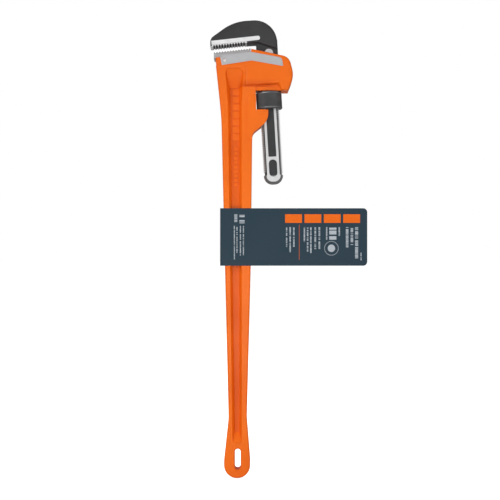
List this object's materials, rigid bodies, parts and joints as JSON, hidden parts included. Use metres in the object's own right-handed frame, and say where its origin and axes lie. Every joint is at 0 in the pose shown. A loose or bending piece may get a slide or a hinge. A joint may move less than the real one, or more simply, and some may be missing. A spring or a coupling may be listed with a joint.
{
  "type": "pipe wrench",
  "caption": "Large adjustable pipe wrench: I-beam handle with a toothed heel jaw, and a sliding, rocking hook jaw set by a knurled nut; a card sleeve round the handle.",
  "frame": {"origin": "middle of the gap between the two toothed jaws, on the wrench's middle plane", "axes": "+Z along the handle towards the jaws, +X from the open mouth towards the back of the hook jaw, +Y through the thickness"},
  "size_m": [0.3644, 0.062, 1.0639],
  "materials": {
    "handle_casting": "ductile iron casting with orange powder paint, and ground bare lands",
    "heel_jaw_steel": "hardened alloy steel, machined and ground",
    "pin_steel": "bright ground steel",
    "hook_jaw_steel": "drop-forged alloy steel with a dark oxide, ground bright on its lands, teeth and threads",
    "nut_steel": "machined and knurled steel, dark oxide",
    "spring_steel": "blued spring steel",
    "printed_card": "printed card, satin varnish"
  },
  "bodies": {
    "handle": {"handle": "handle_casting", "heel_jaw": "heel_jaw_steel", "heel_jaw_pin": "pin_steel", "coil_spring": "spring_steel", "card_sleeve": "printed_card"},
    "rocker": {"flat_spring": "spring_steel", "spring_rivet": "pin_steel"},
    "hook_jaw": {"hook_jaw": "hook_jaw_steel"},
    "nut": {"adjusting_nut": "nut_steel"}
  },
  "joints": [
    {"name": "jaw_rock", "type": "hinge", "parent": "handle", "child": "rocker", "pos_m": [0.0903, 0, -0.1212], "axis": [0, 1, 0], "range_deg": [0, 3.3], "stiffness_Nm_per_rad": 40, "springref_deg": -2.86, "deforming": ["coil_spring"]},
    {"name": "nut_spin", "type": "hinge", "parent": "rocker", "child": "nut", "pos_m": [0.0903, 0, -0.1212], "axis": [-0.0576, 0, 0.9983], "range_deg": [-10877.9, 956.7]},
    {"name": "jaw_slide", "type": "slide", "parent": "rocker", "child": "hook_jaw", "axis": [-0.0576, 0, 0.9983], "range_m": [-0.0135, 0.1535]}
  ],
  "couplings": [
    {"joint": "jaw_slide", "follows": "nut_spin", "m_per_rad": -0.00080851}
  ]
}
